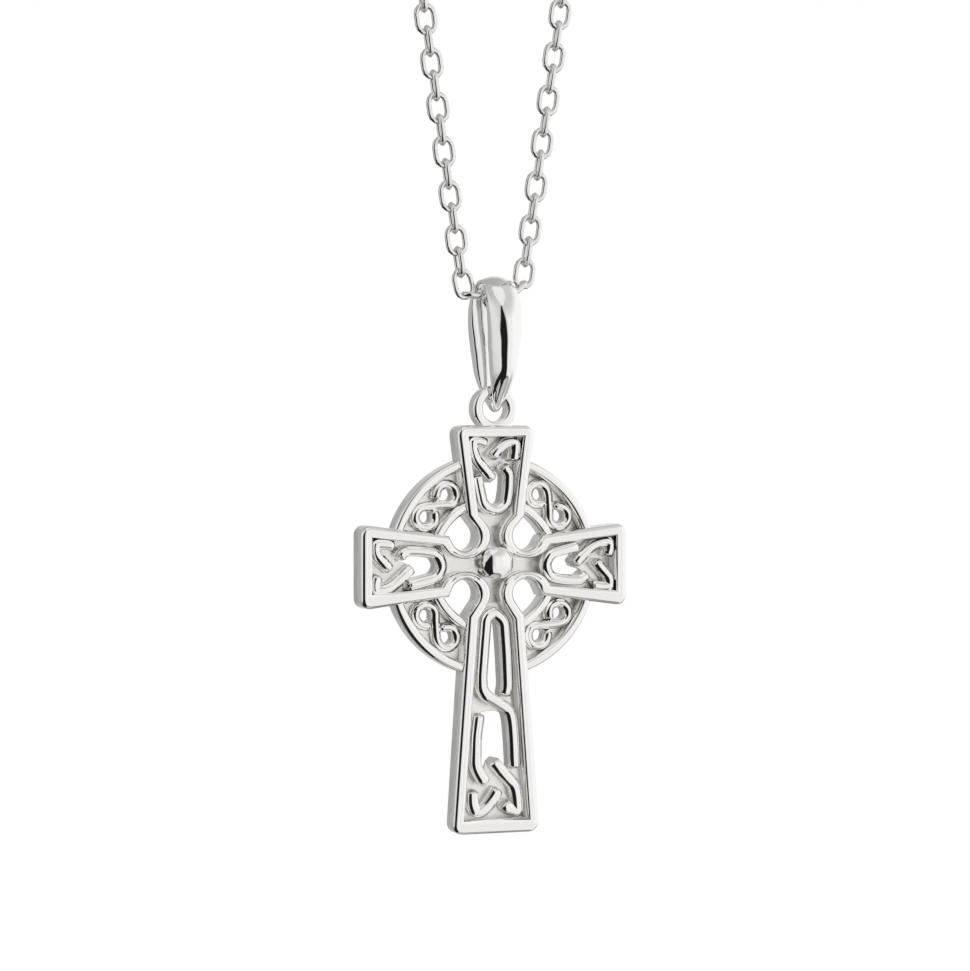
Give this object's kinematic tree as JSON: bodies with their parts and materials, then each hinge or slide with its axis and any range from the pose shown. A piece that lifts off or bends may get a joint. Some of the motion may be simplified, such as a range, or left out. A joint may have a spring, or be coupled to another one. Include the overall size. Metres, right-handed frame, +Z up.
{
  "type": "cross pendant necklace",
  "caption": "Silver Celtic cross pendant with pierced knotwork, a ring and a domed boss, hung by a tapered bail from a fine cable chain.",
  "frame": {"origin": "inside of the chain at the top of its loop, where a neck or a hook carries the necklace", "axes": "+Z up, the cross's front faces -Y, +X to the right of the cross as seen from its front"},
  "size_m": [0.0502, 0.0058, 0.2453],
  "materials": {
    "cast_silver": "polished cast silver",
    "polished_silver": "polished silver",
    "chain_silver": "polished silver wire"
  },
  "bodies": {
    "necklace": {"chain": "chain_silver", "clasp": "chain_silver"},
    "bail": {"bail": "polished_silver"},
    "cross": {"cross": "cast_silver"}
  },
  "joints": [
    {"name": "bail_swing", "type": "hinge", "parent": "necklace", "child": "bail", "pos_m": [0, 0, -0.21058], "axis": [1, 0, 0], "range_deg": [-75, 75]},
    {"name": "cross_swing", "type": "hinge", "parent": "bail", "child": "cross", "pos_m": [0, 0, -0.21759], "axis": [0, 1, 0], "range_deg": [-60, 60]}
  ]
}
